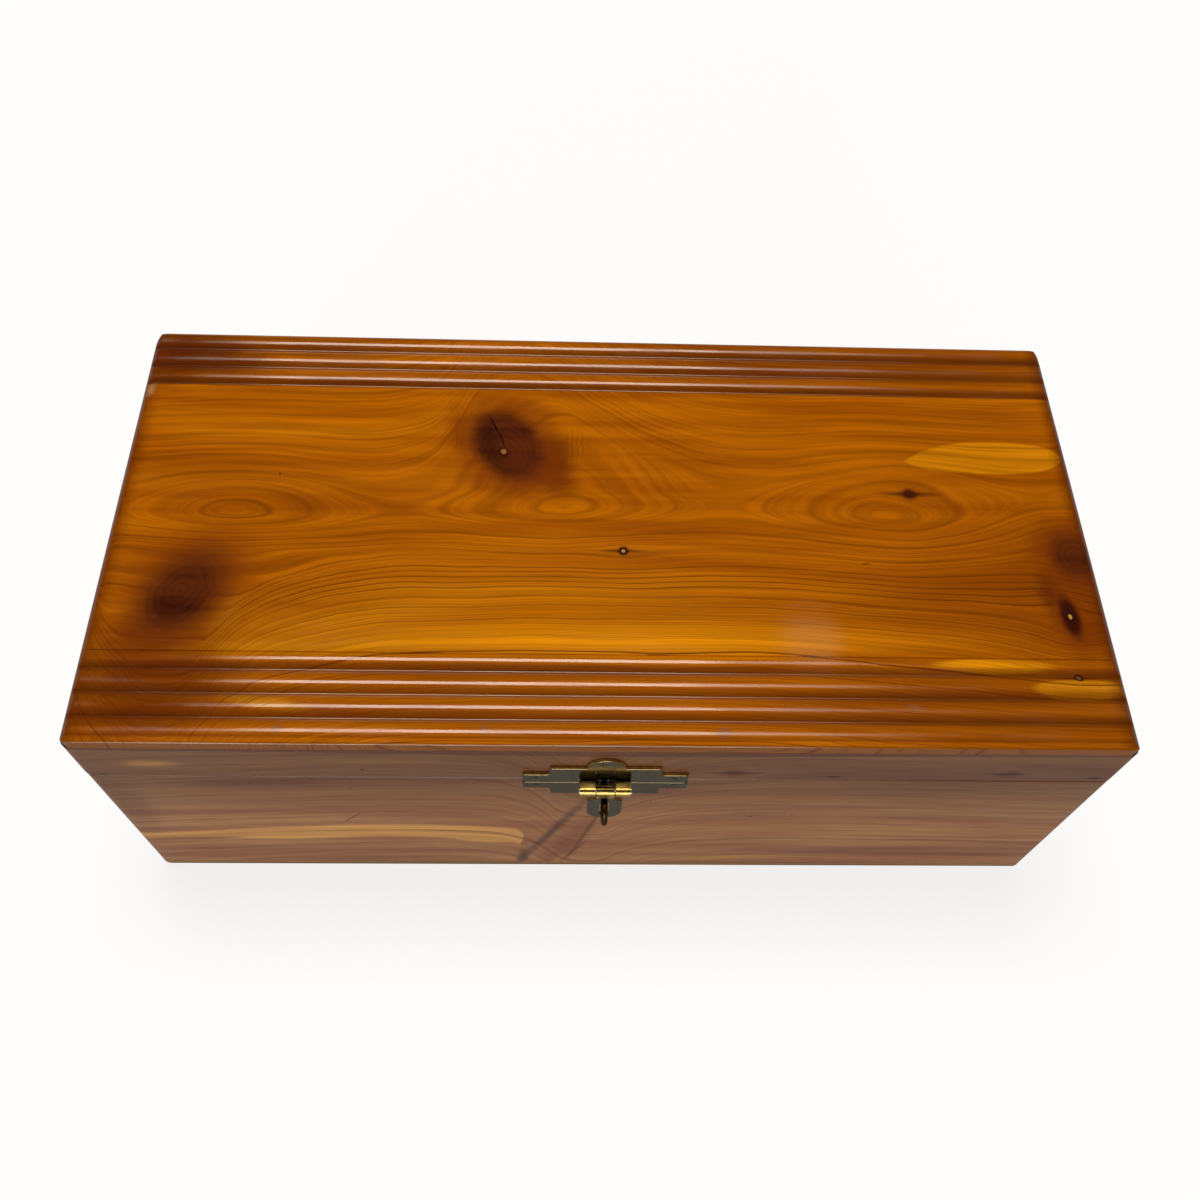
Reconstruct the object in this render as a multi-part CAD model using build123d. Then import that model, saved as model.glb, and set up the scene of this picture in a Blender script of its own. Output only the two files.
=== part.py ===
"""Cedar keepsake box with a reeded lid, two rear butt hinges and a small hasp at the front.

Origin: centre of the flat underside. +Z is up, -Y is the front with the hasp, +X is to the right.
All sizes are in millimetres.
"""

import math
import os

from build123d import *

# Overall size
length = 308.5
width = 152.4
height = 108.6

# Boards
board_thickness = 9.5
top_thickness = 6.3
bottom_thickness = 3.2
rabbet_lip = 4.0
seam_height = 82.2
seam_gap = 0.4
box_inset = 0.1
lid_inset = 0.1
eased_edge = 0.35
bottom_round = 0.8
box_corner_radii = {(-1, -1): 3.8, (1, -1): 2.8, (-1, 1): 8.5, (1, 1): 8.5}
lid_corner_radii = {(-1, -1): 3.4, (1, -1): 2.6, (-1, 1): 8.5, (1, 1): 8.5}

# Reeded moulding of the top board
reed_pitch = 7.62
reed_radius = 5.2
reed_valley_half = 0.5
reed_drop = 0.35
front_reeds = 4
back_reeds = 3
front_reed_margin = 3.96
back_reed_margin = 3.96
front_field_edge = -47.85
back_field_edge = 51.5
end_round = 5.5
top_end_inset = 0.95
moulding_spare = 1.0
top_corner_radii = {(-1, -1): 3.2, (1, -1): 2.6, (-1, 1): 8.5, (1, 1): 8.5}

# Nails under the bottom panel
nail_radius = 0.7
nail_length = 16.0
nail_head_radius = 1.5
nail_head_height = 0.8
nail_recess = 0.2
nail_columns = 4
nail_pitch = 80.0

# Rear butt hinges
hinge_spacing = 190.0
hinge_length = 38.0
hinge_leaf_thickness = 1.0
hinge_leaf_edge = 67.2
hinge_axis_y = 73.6
hinge_axis_z = seam_height + seam_gap / 2
hinge_barrel_radius = 2.0
hinge_pin_radius = 1.0
hinge_pin_head = 0.6
hinge_knuckles = 5
knuckle_gap = 0.3
running_clearance = 0.05
barrel_clearance = 0.3
groove_angle = 50.0
groove_clearance = 0.1
screw_spacing = 24.0
screw_y = 69.2
screw_radius = 0.8
screw_head_radius = 1.6
screw_length = 7.0
screw_slot_width = 0.4
screw_slot_depth = 0.35

# Front hasp
plate_thickness = 1.2
plate_width = 49.4
plate_step_width = 33.0
plate_dome_radius = 5.7
upper_ear_height = 5.1
upper_step_height = 9.7
lower_ear_height = 4.5
lower_step_height = 8.8
lower_dome_centre = 10.0
plate_gap = 0.45
plate_edge_round = 0.35
plate_corner_round = 0.9
clasp_axis_lift = 0.2
clasp_axis_reach = 3.9
clasp_barrel_radius = 1.75
clasp_barrel_length = 15.0
clasp_pin_radius = 0.8
clasp_pin_head = 0.35
clasp_sheet = 0.85
tongue_knuckle = 5.3
tongue_gap = 0.35
tongue_width = 10.5
tongue_shoulder = 3.3
tongue_end_centre = 12.5
tongue_slot_width = 3.0
tongue_slot_length = 11.0
tongue_slot_centre = 9.85
staple_wire_radius = 0.95
staple_bend_radius = 3.95
staple_reach = 6.0
staple_depth = 7.0
tack_radius = 0.5
tack_head_radius = 0.85
tack_head_height = 0.3
tack_proud = 0.1
tack_length = 6.0
tack_x = 20.6

# Reach of a search for the edges at one height
tolerance = 0.001

# Worked out from the driving sizes
top_underside = height - top_thickness
rail_bottom = seam_height + seam_gap
seam_middle = seam_height + seam_gap / 2
lid_face = -(width / 2 - lid_inset)
box_face = -(width / 2 - box_inset)
clasp_axis_y = lid_face - clasp_axis_reach
clasp_axis_z = seam_middle + clasp_axis_lift


def plan_block(inset, radii, low, high, end_inset=0.0):
    """A block of the box's rounded plan outline between two heights, drawn in by inset and more at its ends."""
    outline = Rectangle(length - 2 * (inset + end_inset), width - 2 * inset)
    for (side_x, side_y), radius in radii.items():
        corner = max(outline.vertices(), key=lambda v: v.X * side_x + v.Y * side_y)
        outline = fillet(corner, radius)
    return Pos(0, 0, low) * extrude(outline, high - low)


def edges_at(solid, level):
    """The edges of a solid that lie wholly at one height."""
    return solid.edges().filter_by_position(Axis.Z, level - tolerance, level + tolerance)


def box_between(low, high):
    """An axis-aligned block given by two opposite corners."""
    size = [b - a for a, b in zip(low, high)]
    centre = [(a + b) / 2 for a, b in zip(low, high)]
    return Pos(*centre) * Box(*size)


def cylinder_along_x(radius, start, end, y, z):
    """A cylinder along X between two X positions."""
    return Pos((start + end) / 2, y, z) * Rot(0, 90, 0) * Cylinder(radius, end - start)


def frame_boards(block, inset, low, high):
    """Front, back, left and right boards of a frame cut from one outline block."""
    inner_x = length / 2 - inset - board_thickness
    inner_y = width / 2 - inset - board_thickness
    lip_y = width / 2 - inset - rabbet_lip
    left = block & box_between((-length, -lip_y, low), (-inner_x, lip_y, high))
    right = block & box_between((inner_x, -lip_y, low), (length, lip_y, high))
    front = block & box_between((-length, -width, low), (length, -inner_y, high))
    back = block & box_between((-length, inner_y, low), (length, width, high))
    front = front - left - right
    back = back - left - right
    return front, back, left, right


def reed_points(centre):
    """Start, crown and end of one reed's arc, for a reed centred at this Y."""
    half = reed_pitch / 2 - reed_valley_half
    sag = reed_radius - math.sqrt(reed_radius**2 - half**2)
    crown = height - reed_drop
    return (centre - half, crown - sag), (centre, crown), (centre + half, crown - sag)


def valley_point(centre):
    """Lowest point of the small hollow between two reeds."""
    half = reed_pitch / 2 - reed_valley_half
    slope = math.asin(half / reed_radius)
    hollow_radius = reed_valley_half / math.sin(slope)
    sag = reed_radius - math.sqrt(reed_radius**2 - half**2)
    return centre, height - reed_drop - sag - hollow_radius * (1 - math.cos(slope))


def reed_height(centre, y):
    """Height of a reed's arc at this Y."""
    return height - reed_drop - reed_radius + math.sqrt(reed_radius**2 - (y - centre) ** 2)


def top_profile():
    """Cross-section of the top board: front reeds, flat field, back reeds and a rounded back edge."""
    front_edge = -width / 2
    back_edge = width / 2
    crown = height - reed_drop
    bottom = top_underside - moulding_spare
    outer = front_edge - moulding_spare / 2
    edges = []
    cursor = (outer, reed_height(front_edge + front_reed_margin, outer))
    edges.append(Line((outer, bottom), cursor))
    for index in range(front_reeds):
        centre = front_edge + front_reed_margin + index * reed_pitch
        _, top, end = reed_points(centre)
        if index == front_reeds - 1:
            end = (front_field_edge, reed_height(centre, front_field_edge))
            edges.append(ThreePointArc(cursor, top, end))
            cursor = end
            break
        edges.append(ThreePointArc(cursor, top, end))
        following = reed_points(centre + reed_pitch)[0]
        edges.append(ThreePointArc(end, valley_point(centre + reed_pitch / 2), following))
        cursor = following
    edges.append(Line(cursor, (front_field_edge, height)))
    edges.append(Line((front_field_edge, height), (back_field_edge, height)))
    last = back_edge - back_reed_margin
    first = last - (back_reeds - 1) * reed_pitch
    cut = first - reed_pitch
    start = (back_field_edge, reed_height(cut, back_field_edge))
    end = reed_points(cut)[2]
    middle = ((start[0] + end[0]) / 2, reed_height(cut, (start[0] + end[0]) / 2))
    cursor = reed_points(first)[0]
    edges.append(Line((back_field_edge, height), start))
    edges.append(ThreePointArc(start, middle, end))
    edges.append(ThreePointArc(end, valley_point(cut + reed_pitch / 2), cursor))
    for index in range(back_reeds - 1):
        centre = first + index * reed_pitch
        _, top, end = reed_points(centre)
        edges.append(ThreePointArc(cursor, top, end))
        following = reed_points(centre + reed_pitch)[0]
        edges.append(ThreePointArc(end, valley_point(centre + reed_pitch / 2), following))
        cursor = following
    middle = ((cursor[0] + last) / 2, reed_height(last, (cursor[0] + last) / 2))
    edges.append(ThreePointArc(cursor, middle, (last, crown)))
    corner = back_reed_margin * math.sqrt(0.5)
    shoulder = (last + corner, crown - back_reed_margin + corner)
    edges.append(ThreePointArc((last, crown), shoulder, (back_edge, crown - back_reed_margin)))
    edges.append(Line((back_edge, crown - back_reed_margin), (back_edge, bottom)))
    edges.append(Line((back_edge, bottom), (outer, bottom)))
    return make_face(edges)


def lid_top():
    """The top board, its reeds running out over the rounded ends."""
    moulding = Pos(-length, 0, 0) * extrude(Plane.YZ * top_profile(), 2 * length)
    plan = plan_block(0, top_corner_radii, top_underside, height + moulding_spare, top_end_inset)
    plan = chamfer(edges_at(plan, top_underside), eased_edge)
    end_view = Pos(0, height - top_thickness) * Rectangle(length - 2 * top_end_inset, 2 * top_thickness)
    end_view = fillet(end_view.vertices().group_by(Axis.Y)[-1], end_round)
    rounded = Pos(0, width, 0) * extrude(Plane.XZ * end_view, 2 * width)
    return (plan & rounded) & moulding


def groove_cutter(direction):
    """Block that cuts one side of the rear groove; direction is 1 for the lid and -1 for the box."""
    reach = 3 * hinge_barrel_radius
    angle = math.radians(groove_angle)
    start_z = hinge_axis_z + direction * groove_clearance
    points = [
        (hinge_axis_y, hinge_axis_z),
        (hinge_axis_y, start_z),
        (hinge_axis_y + reach, start_z + direction * reach * math.tan(angle)),
        (hinge_axis_y + reach, hinge_axis_z),
    ]
    outline = make_face(Polyline(*points, close=True))
    return Pos(-length, 0, 0) * extrude(Plane.YZ * outline, 2 * length)


def hinge_centres():
    """X positions of the two hinges."""
    return (-hinge_spacing / 2, hinge_spacing / 2)


def hinge_pocket(centre, direction):
    """The mortise for one leaf with room for the barrel."""
    half = hinge_length / 2
    outer = half + hinge_pin_head + barrel_clearance
    level = seam_height if direction < 0 else rail_bottom
    deep = level + direction * hinge_leaf_thickness
    low, high = sorted((deep, seam_middle))
    mortise = box_between(
        (centre - half, hinge_leaf_edge, low),
        (centre + half, hinge_axis_y, high),
    )
    radius = hinge_barrel_radius + barrel_clearance
    room = cylinder_along_x(radius, centre - outer, centre + outer, hinge_axis_y, hinge_axis_z)
    return mortise + room


def hinge_leaf(centre, direction):
    """One leaf with its share of the knuckles; direction is 1 for the lid and -1 for the box."""
    half = hinge_length / 2
    pitch = hinge_length / hinge_knuckles
    level = seam_height if direction < 0 else rail_bottom
    low, high = sorted((level, level + direction * hinge_leaf_thickness))
    clear_edge = hinge_axis_y - hinge_barrel_radius - barrel_clearance
    leaf = box_between(
        (centre - half, hinge_leaf_edge, low),
        (centre + half, clear_edge, high),
    )
    first = 0 if direction < 0 else 1
    for index in range(first, hinge_knuckles, 2):
        start = centre - half + index * pitch
        end = start + pitch
        if index > 0:
            start += knuckle_gap / 2
        if index < hinge_knuckles - 1:
            end -= knuckle_gap / 2
        leaf += box_between((start, clear_edge, low), (end, hinge_axis_y, high))
        leaf += cylinder_along_x(hinge_barrel_radius, start, end, hinge_axis_y, hinge_axis_z)
    bore = hinge_pin_radius + running_clearance
    leaf -= cylinder_along_x(bore, centre - length, centre + length, hinge_axis_y, hinge_axis_z)
    return leaf


def hinge_pin(centre):
    """Hinge pin with a small round head at each end."""
    half = hinge_length / 2
    head_radius = (hinge_pin_radius + hinge_barrel_radius) / 2
    pin = cylinder_along_x(hinge_pin_radius, centre - half, centre + half, hinge_axis_y, hinge_axis_z)
    for side in (-1, 1):
        start, end = sorted((centre + side * half, centre + side * (half + hinge_pin_head)))
        pin += cylinder_along_x(head_radius, start, end, hinge_axis_y, hinge_axis_z)
    return pin


def screw_blank(x, direction):
    """A countersunk screw without its slot, its head flush with the leaf."""
    level = seam_height if direction < 0 else rail_bottom
    points = [
        (0, 0),
        (screw_head_radius, 0),
        (screw_radius, screw_head_radius - screw_radius),
        (screw_radius, screw_length - screw_radius),
        (0, screw_length),
    ]
    half_section = make_face(Polyline(*points, close=True))
    turned = revolve(Plane.XZ * half_section, Axis.Z)
    flip = 0 if direction > 0 else 180
    return Pos(x, screw_y, level) * Rot(flip, 0, 0) * turned


def screw_slot(x, direction):
    """The driver slot across one screw head."""
    level = seam_height if direction < 0 else rail_bottom
    low, high = sorted((level, level + direction * screw_slot_depth))
    return box_between(
        (x - screw_head_radius, screw_y - screw_slot_width / 2, low),
        (x + screw_head_radius, screw_y + screw_slot_width / 2, high),
    )


def screw_places():
    """X positions of the hinge screws."""
    half = screw_spacing / 2
    return [centre + side * half for centre in hinge_centres() for side in (-1, 1)]


def nail(x, y):
    """A small nail driven up through the bottom panel."""
    head_top = nail_recess + nail_head_height
    head = Pos(x, y, (nail_recess + head_top) / 2) * Cylinder(nail_head_radius, nail_head_height)
    shank_length = nail_length - nail_head_height
    shank = Pos(x, y, head_top + shank_length / 2) * Cylinder(nail_radius, shank_length)
    return head + shank


def nail_hole(x, y):
    """The hole of one nail, open at the underside."""
    mouth = Pos(x, y, nail_recess / 2) * Cylinder(nail_head_radius, nail_recess)
    return nail(x, y) + mouth


def nail_places():
    """Nail positions along the front and back boards and at the middle of both ends."""
    line_y = width / 2 - box_inset - board_thickness / 2
    line_x = length / 2 - box_inset - board_thickness / 2
    places = []
    for column in range(nail_columns):
        x = (column - (nail_columns - 1) / 2) * nail_pitch
        places += [(x, -line_y), (x, line_y)]
    return places + [(-line_x, 0), (line_x, 0)]


def tack(x, z, face):
    """A small round-headed pin that fixes a plate of the hasp."""
    head_back = face + tack_head_height - tack_proud
    head = Pos(x, (face - tack_proud + head_back) / 2, z) * Rot(90, 0, 0)
    shank = Pos(x, head_back + tack_length / 2, z) * Rot(90, 0, 0)
    return head * Cylinder(tack_head_radius, tack_head_height) + shank * Cylinder(tack_radius, tack_length)


def plate_solid(outline, back, thickness):
    """A stamped plate on the front of the box with a rounded front edge."""
    plate = Pos(0, back, 0) * extrude(Plane.XZ * outline, thickness)
    return fillet(plate.edges().group_by(Axis.Y)[0], plate_edge_round)


def upper_outline():
    """Outline of the hasp's upper plate: two ears, a taller middle and a round dome."""
    base = rail_bottom + plate_gap / 2 - seam_gap / 2
    ears = Pos(0, base + upper_ear_height / 2) * Rectangle(plate_width, upper_ear_height)
    middle = Pos(0, base + upper_step_height / 2) * Rectangle(plate_step_width, upper_step_height)
    outline = fillet((ears + middle).vertices(), plate_corner_round)
    return outline + Pos(0, base + upper_step_height) * Circle(plate_dome_radius)


def lower_outline():
    """Outline of the hasp's lower plate, which mirrors the upper one below the seam."""
    top = seam_height - plate_gap / 2 + seam_gap / 2
    ears = Pos(0, top - lower_ear_height / 2) * Rectangle(plate_width, lower_ear_height)
    middle = Pos(0, top - lower_step_height / 2) * Rectangle(plate_step_width, lower_step_height)
    outline = fillet((ears + middle).vertices(), plate_corner_round)
    neck = Pos(0, top - lower_dome_centre / 2) * Rectangle(2 * plate_dome_radius, lower_dome_centre)
    return outline + neck + Pos(0, top - lower_dome_centre) * Circle(plate_dome_radius)


def clasp_upper_plate():
    """Upper plate with the two outer knuckles of the hasp's hinge."""
    plate = plate_solid(upper_outline(), lid_face, plate_thickness)
    half = clasp_barrel_length / 2
    inner = tongue_knuckle / 2 + tongue_gap
    web_top = clasp_axis_z + clasp_barrel_radius
    for side in (-1, 1):
        start, end = sorted((side * inner, side * half))
        plate += box_between(
            (start, clasp_axis_y, web_top - clasp_sheet),
            (end, lid_face - plate_thickness / 2, web_top),
        )
        plate += cylinder_along_x(clasp_barrel_radius, start, end, clasp_axis_y, clasp_axis_z)
    bore = clasp_pin_radius + running_clearance
    plate -= cylinder_along_x(bore, -half, half, clasp_axis_y, clasp_axis_z)
    for place in tack_places(1):
        plate -= tack(*place)
    return plate


def tack_places(direction):
    """Position of each plate's two pins: X, Z and the face that they sit on."""
    if direction > 0:
        z = rail_bottom + upper_ear_height / 2
    else:
        z = seam_height - lower_ear_height / 2
    face = lid_face - plate_thickness
    return [(-tack_x, z, face), (tack_x, z, face)]


def clasp_tongue():
    """The swinging tongue: a knuckle on the pin and a round-ended paddle with a slot."""
    front = clasp_axis_y - clasp_barrel_radius
    shoulder = seam_middle - tongue_shoulder
    end_z = seam_middle - tongue_end_centre
    root = Pos(0, (clasp_axis_z + shoulder - 1) / 2) * Rectangle(tongue_knuckle, clasp_axis_z - shoulder + 1)
    paddle = Pos(0, (shoulder + end_z) / 2) * Rectangle(tongue_width, shoulder - end_z)
    paddle = fillet(paddle.vertices().group_by(Axis.Y)[-1], plate_corner_round)
    outline = root + paddle + Pos(0, end_z) * Circle(tongue_width / 2)
    slot = SlotOverall(tongue_slot_length, tongue_slot_width, rotation=90)
    outline -= Pos(0, seam_middle - tongue_slot_centre) * slot
    tongue = Pos(0, front + clasp_sheet, 0) * extrude(Plane.XZ * outline, clasp_sheet)
    half = tongue_knuckle / 2
    tongue += cylinder_along_x(clasp_barrel_radius, -half, half, clasp_axis_y, clasp_axis_z)
    bore = clasp_pin_radius + running_clearance
    return tongue - cylinder_along_x(bore, -half, half, clasp_axis_y, clasp_axis_z)


def clasp_hinge_pin():
    """Pin of the hasp's hinge with a small head at each end."""
    half = clasp_barrel_length / 2
    pin = cylinder_along_x(clasp_pin_radius, -half, half, clasp_axis_y, clasp_axis_z)
    head_radius = (clasp_pin_radius + clasp_barrel_radius) / 2
    for side in (-1, 1):
        start, end = sorted((side * half, side * (half + clasp_pin_head)))
        pin += cylinder_along_x(head_radius, start, end, clasp_axis_y, clasp_axis_z)
    return pin


def clasp_staple():
    """Wire staple whose loop stands out through the tongue's slot."""
    centre_z = seam_middle - tongue_slot_centre
    start_y = box_face + staple_depth
    bend_y = box_face - staple_reach
    upper = centre_z + staple_bend_radius
    lower = centre_z - staple_bend_radius
    path = [
        Line((0, start_y, upper), (0, bend_y, upper)),
        ThreePointArc((0, bend_y, upper), (0, bend_y - staple_bend_radius, centre_z), (0, bend_y, lower)),
        Line((0, bend_y, lower), (0, start_y, lower)),
    ]
    section = Plane((0, start_y, upper), z_dir=(0, -1, 0)) * Circle(staple_wire_radius)
    return sweep(section, Wire(path))


def clasp_lower_plate(staple):
    """Lower plate, pierced for the staple and its pins."""
    plate = plate_solid(lower_outline(), box_face, plate_thickness + box_face - lid_face)
    for place in tack_places(-1):
        plate -= tack(*place)
    return plate - staple


def build_box():
    """The box's boards, bottom panel and nails."""
    block = plan_block(box_inset, box_corner_radii, bottom_thickness, seam_height)
    block = chamfer(edges_at(block, seam_height) + edges_at(block, bottom_thickness), eased_edge)
    names = ("box_front", "box_back", "box_left", "box_right")
    parts = dict(zip(names, frame_boards(block, box_inset, bottom_thickness, seam_height)))
    panel = plan_block(box_inset, box_corner_radii, 0, bottom_thickness)
    panel = fillet(edges_at(panel, 0), bottom_round)
    for place in nail_places():
        panel -= nail_hole(*place)
        for name in names:
            parts[name] -= nail(*place)
    parts["box_bottom"] = panel
    parts["bottom_nails"] = Compound([nail(*place) for place in nail_places()])
    return parts


def build_lid():
    """The lid's top board and the four rails below it."""
    block = plan_block(lid_inset, lid_corner_radii, rail_bottom, top_underside)
    block = chamfer(edges_at(block, rail_bottom), eased_edge)
    names = ("lid_front_rail", "lid_back_rail", "lid_left_rail", "lid_right_rail")
    parts = dict(zip(names, frame_boards(block, lid_inset, rail_bottom, top_underside)))
    parts["lid_top"] = lid_top()
    return parts


def build_hinges(parts):
    """Both hinges and their screws, let into the two back boards."""
    sides = {"box": ("box_back", -1), "lid": ("lid_back_rail", 1)}
    labels = dict(zip(("left", "right"), hinge_centres()))
    for owner, (board, direction) in sides.items():
        parts[board] -= groove_cutter(direction)
        screws = [screw_blank(x, direction) for x in screw_places()]
        for label, centre in labels.items():
            parts[board] -= hinge_pocket(centre, direction)
            leaf = hinge_leaf(centre, direction)
            for screw in screws:
                leaf -= screw
            parts[f"hinge_{label}_{owner}_leaf"] = leaf
            parts[f"hinge_{label}_pin"] = hinge_pin(centre)
        for screw in screws:
            parts[board] -= screw
        slotted = [s - screw_slot(x, direction) for s, x in zip(screws, screw_places())]
        parts[f"hinge_{owner}_screws"] = Compound(slotted)


def build_clasp(parts):
    """The hasp on the lid's front rail and the staple plate on the box's front board."""
    staple = clasp_staple()
    parts["clasp_upper_plate"] = clasp_upper_plate()
    parts["clasp_tongue"] = clasp_tongue()
    parts["clasp_hinge_pin"] = clasp_hinge_pin()
    parts["clasp_lower_plate"] = clasp_lower_plate(staple)
    parts["clasp_staple"] = staple
    upper_tacks = [tack(*place) for place in tack_places(1)]
    lower_tacks = [tack(*place) for place in tack_places(-1)]
    parts["clasp_upper_pins"] = Compound(upper_tacks)
    parts["clasp_lower_pins"] = Compound(lower_tacks)
    for pin in upper_tacks:
        parts["lid_front_rail"] -= pin
    for pin in lower_tacks + [staple]:
        parts["box_front"] -= pin


def main():
    """Build every piece and write one STEP file for each."""
    parts = build_box()
    parts.update(build_lid())
    build_hinges(parts)
    build_clasp(parts)
    os.makedirs("parts", exist_ok=True)
    for name, shape in parts.items():
        export_step(shape, f"parts/{name}.step")


main()
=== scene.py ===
"""Looks for a hinged cedar keepsake box: varnished red cedar, brass hinges and a hasp, on a pale floor."""

import math
from dataclasses import dataclass

import bpy
from mathutils import Euler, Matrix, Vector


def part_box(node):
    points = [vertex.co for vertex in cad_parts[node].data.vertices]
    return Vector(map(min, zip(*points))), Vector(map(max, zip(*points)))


bl_info = {
    "name": "Cedar keepsake box",
    "version": (1, 0, 0),
    "blender": (4, 5, 0),
    "location": "View3D > Sidebar > Keepsake box",
    "description": "Dresses the keepsake box in varnished cedar and brass, and sets its studio",
    "category": "Object",
}

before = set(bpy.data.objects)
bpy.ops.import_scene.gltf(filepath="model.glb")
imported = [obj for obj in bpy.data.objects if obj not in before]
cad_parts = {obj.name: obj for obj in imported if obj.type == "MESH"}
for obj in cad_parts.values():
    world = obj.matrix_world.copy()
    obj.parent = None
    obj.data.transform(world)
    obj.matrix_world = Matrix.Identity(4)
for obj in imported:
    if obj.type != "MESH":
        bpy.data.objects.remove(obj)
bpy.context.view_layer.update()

MM = 0.001
LID_TOP_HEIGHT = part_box("lid_top")[1].z
LID_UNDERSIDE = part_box("lid_top")[0].z
FRONT_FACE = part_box("box_front")[0].y
BACK_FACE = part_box("box_back")[1].y
LEFT_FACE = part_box("box_left")[0].x
RIGHT_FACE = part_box("box_right")[1].x
SEAM = (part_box("clasp_upper_plate")[0].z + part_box("clasp_lower_plate")[1].z) / 2

# millimetres on a board
REED_PITCH = 7.62
REED_OUTER_VALLEY = 74.3
# how far behind each valley its painted shade and stain are centred
SHADE_AND_STAIN_SHIFT = 0.8
SHORE_BLEND = 0.6
FLECK_WIDTH = 0.7
CURL_PITCH = 1.7
SLOW_WANDER = 1.1
FINE_WANDER = 0.12

# how far a drawn line reaches each way along the board, and the heights that its curve can hold
CURVE_REACH = 160.0
CURVE_SPAN = 120.0
LIFT_SPAN = 40.0

VARNISH_IOR = 1.45
BARE_ROUGHNESS = 0.62


def linear(code):
    """An sRGB hex colour as linear red, green and blue."""
    parts = [int(code[i : i + 2], 16) / 255 for i in (1, 3, 5)]
    return tuple(c / 12.92 if c <= 0.04045 else ((c + 0.055) / 1.055) ** 2.4 for c in parts)


def paint(colour):
    """A hex or linear colour with an alpha of 1, as a colour socket takes it."""
    return (*(linear(colour) if isinstance(colour, str) else colour), 1.0)


def add(tree, kind, links=None, **settings):
    """Adds one node. Settings are its properties, and links its inputs, each a value, a socket or a node."""
    node = tree.nodes.new(kind)
    for name, value in settings.items():
        setattr(node, name, value)
    for name, value in (links or {}).items():
        if isinstance(value, bpy.types.Node):
            value = value.outputs[0]
        if isinstance(value, bpy.types.NodeSocket):
            tree.links.new(value, node.inputs[name])
        else:
            node.inputs[name].default_value = value
    return node


MATH = "ShaderNodeMath"
VECTOR = "ShaderNodeVectorMath"
NOISE = "ShaderNodeTexNoise"
RANGE = "ShaderNodeMapRange"
MIX = "ShaderNodeMix"
MAPPING = "ShaderNodeMapping"


def new_material(name):
    """An empty node material with its surface shader, which is returned with the tree."""
    material = bpy.data.materials.new(name)
    material.use_nodes = True
    tree = material.node_tree
    tree.nodes.clear()
    shader = add(tree, "ShaderNodeBsdfPrincipled")
    add(tree, "ShaderNodeOutputMaterial", {"Surface": shader})
    return material, tree, shader


def finish_nodes(material, *nodes):
    """Gives the material to every slot of the CAD nodes named."""
    for name in nodes:
        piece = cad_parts[name]
        if not piece.material_slots:
            piece.data.materials.append(None)
        for slot in piece.material_slots:
            slot.link = "OBJECT"
            slot.material = material


@dataclass
class Knot:
    """A knot in a board: place, half sizes and turn in millimetres and degrees."""

    at: tuple
    size: tuple
    turn: float = 0
    heart: tuple = None
    rings: float = 0.0
    dark: float = 1.0
    soft: float = 0.35
    push: tuple = None
    wings: tuple = None
    core: str = None
    core_size: float = 1.0
    halo: float = 0.0


@dataclass
class Tint:
    """A soft-edged patch of other coloured wood, in millimetres and degrees."""

    at: tuple
    size: tuple
    colour: str
    amount: float
    turn: float = 0
    soft: float = 0.5
    ragged: float = 0.1


@dataclass
class Band:
    """A streak of other coloured wood between two lines, each a list of places along and across the board."""

    low: tuple
    high: tuple
    colour: str
    amount: float
    soft: float = 1.0


@dataclass
class Lift:
    """Grain that a big knot shoves aside: beyond one edge it moves by a height that varies along it."""

    edge: float
    upward: bool
    shape: tuple


@dataclass
class Figure:
    """How one board was sawn: which way its grain runs, where its heart lay, and its knots and patches."""

    axes: str
    flip: tuple
    face: float
    pith: float
    loop_at: float
    loop_pitch: float
    pith_depth: float
    pith_swing: float
    ring: float
    back_ring: float
    knots: tuple = ()
    tints: tuple = ()
    marks: tuple = ()
    lifts: tuple = ()
    valleys: tuple = ()
    ripples: tuple = ()
    bands: tuple = ()
    faint: tuple = None
    contrast: float = 1.0
    closing: float = 0.004
    seed: float = 0.0


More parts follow.
